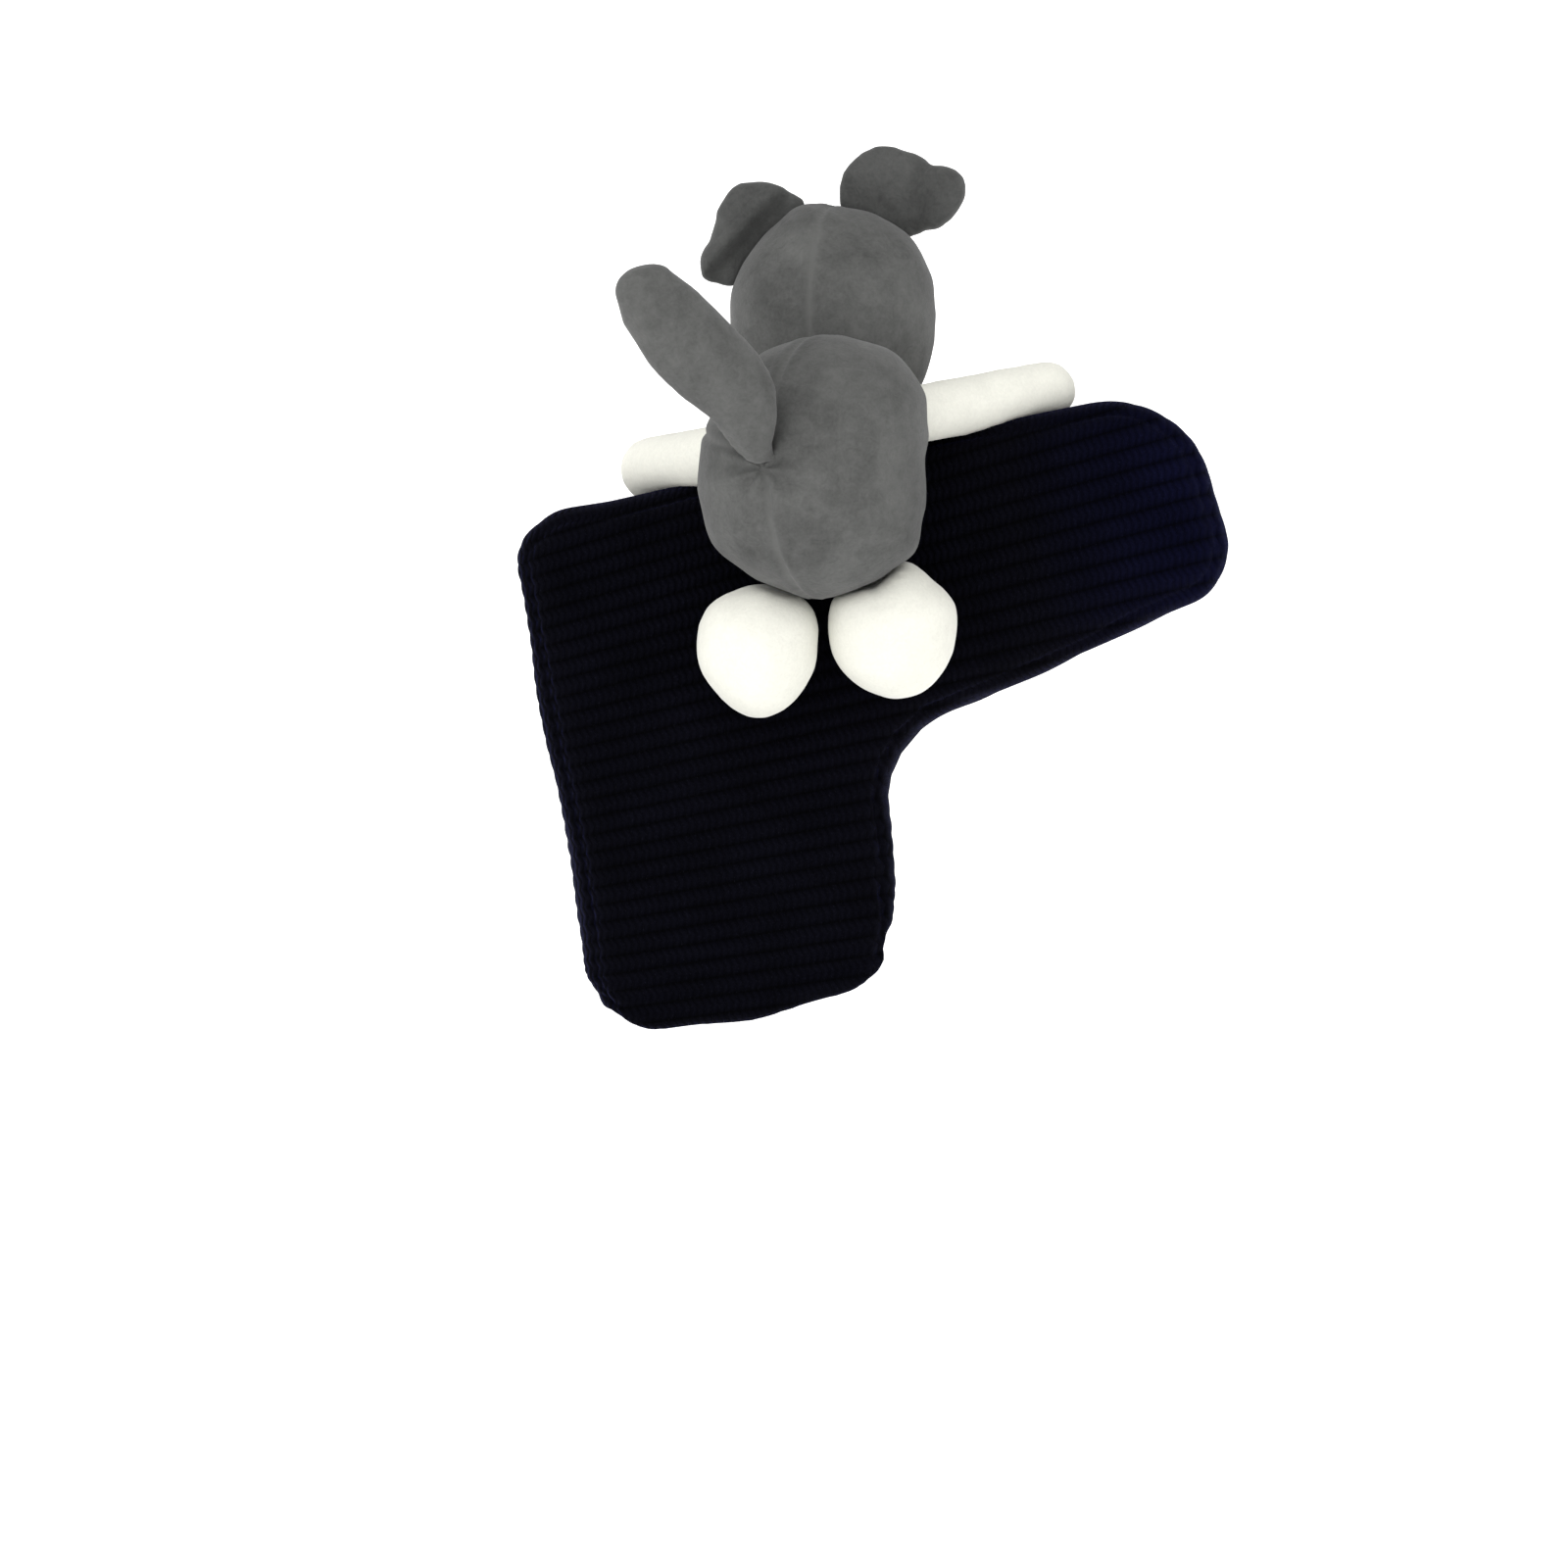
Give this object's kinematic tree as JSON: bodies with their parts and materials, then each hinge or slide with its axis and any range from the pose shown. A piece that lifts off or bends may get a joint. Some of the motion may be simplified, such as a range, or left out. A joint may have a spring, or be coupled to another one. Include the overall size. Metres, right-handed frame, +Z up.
{
  "type": "putter head cover",
  "caption": "Padded ribbed-knit cover shaped for a blade putter head, open at the base for the shaft, with a plush puppy stitched on that looks over the top edge.",
  "frame": {"origin": "on the axis of the club shaft that passes through the mouth, in the plane of the mouth's edge", "axes": "+Z up along the shaft into the cover, +X towards the toe end, -Y the face the puppy hangs on, with its back outwards"},
  "size_m": [0.1616, 0.107, 0.2016],
  "materials": {
    "knit": "near-black navy rib knit, matt",
    "hem": "near-black navy rib knit, turned and stitched",
    "padding": "polyester wadding",
    "lining": "short fleece",
    "elastic": "woven elastic tape",
    "plush_grey": "short-pile plush",
    "plush_white": "short-pile plush",
    "stuffing": "loose polyester fibre",
    "black_plastic": "moulded, glossy"
  },
  "bodies": {
    "cover": {"knit_front_panel": "knit", "knit_back_panel": "knit", "hem_band_front": "hem", "hem_band_back": "hem", "padding_front_panel": "padding", "padding_back_panel": "padding", "lining_front_panel": "lining", "lining_back_panel": "lining", "hem_elastic": "elastic", "belly_panel": "plush_white", "body_left_panel": "plush_grey", "body_right_panel": "plush_grey", "body_stuffing": "stuffing", "arm_left_upper_panel": "plush_white", "arm_left_lower_panel": "plush_white", "arm_left_stuffing": "stuffing", "arm_right_upper_panel": "plush_white", "arm_right_lower_panel": "plush_white", "arm_right_stuffing": "stuffing"},
    "head": {"face_panel": "plush_white", "head_left_panel": "plush_grey", "head_right_panel": "plush_grey", "head_stuffing": "stuffing", "muzzle_pad": "plush_white", "nose_button": "black_plastic", "eye_left_button": "black_plastic", "eye_right_button": "black_plastic", "eye_washers": "black_plastic"},
    "ear_left": {"ear_left_outer_layer": "plush_grey", "ear_left_inner_layer": "plush_grey"},
    "ear_right": {"ear_right_outer_layer": "plush_grey", "ear_right_inner_layer": "plush_grey"},
    "tail": {"tail_back_panel": "plush_grey", "tail_front_panel": "plush_grey", "tail_stuffing": "stuffing"},
    "foot_left": {"foot_left_sole_panel": "plush_white", "foot_left_heel_panel": "plush_white", "foot_left_stuffing": "stuffing"},
    "foot_right": {"foot_right_sole_panel": "plush_white", "foot_right_heel_panel": "plush_white", "foot_right_stuffing": "stuffing"}
  },
  "joints": [
    {"name": "head_turn", "type": "hinge", "parent": "cover", "child": "head", "pos_m": [0.0084, -0.002, 0.15277], "axis": [0, 0, 1], "range_deg": [-25, 25], "stiffness_Nm_per_rad": 0.02},
    {"name": "ear_left_flop", "type": "hinge", "parent": "head", "child": "ear_left", "pos_m": [-0.0092, 0.004, 0.17392], "axis": [-0.6821, 0, -0.7312], "range_deg": [-30, 30], "stiffness_Nm_per_rad": 0.004},
    {"name": "ear_right_flop", "type": "hinge", "parent": "head", "child": "ear_right", "pos_m": [0.02096, 0.004, 0.17813], "axis": [-0.8433, 0, 0.5374], "range_deg": [-30, 30], "stiffness_Nm_per_rad": 0.004},
    {"name": "tail_wag", "type": "hinge", "parent": "cover", "child": "tail", "pos_m": [-0.00805, -0.06253, 0.11945], "axis": [-0.4384, -0.8988, 0], "range_deg": [-35, 35], "stiffness_Nm_per_rad": 0.02},
    {"name": "foot_left_swing", "type": "hinge", "parent": "cover", "child": "foot_left", "pos_m": [-0.0086, -0.04, 0.0936], "axis": [-1, 0, 0], "range_deg": [0, 25]},
    {"name": "foot_right_swing", "type": "hinge", "parent": "cover", "child": "foot_right", "pos_m": [0.022, -0.04, 0.0982], "axis": [-1, 0, 0], "range_deg": [0, 25]}
  ]
}
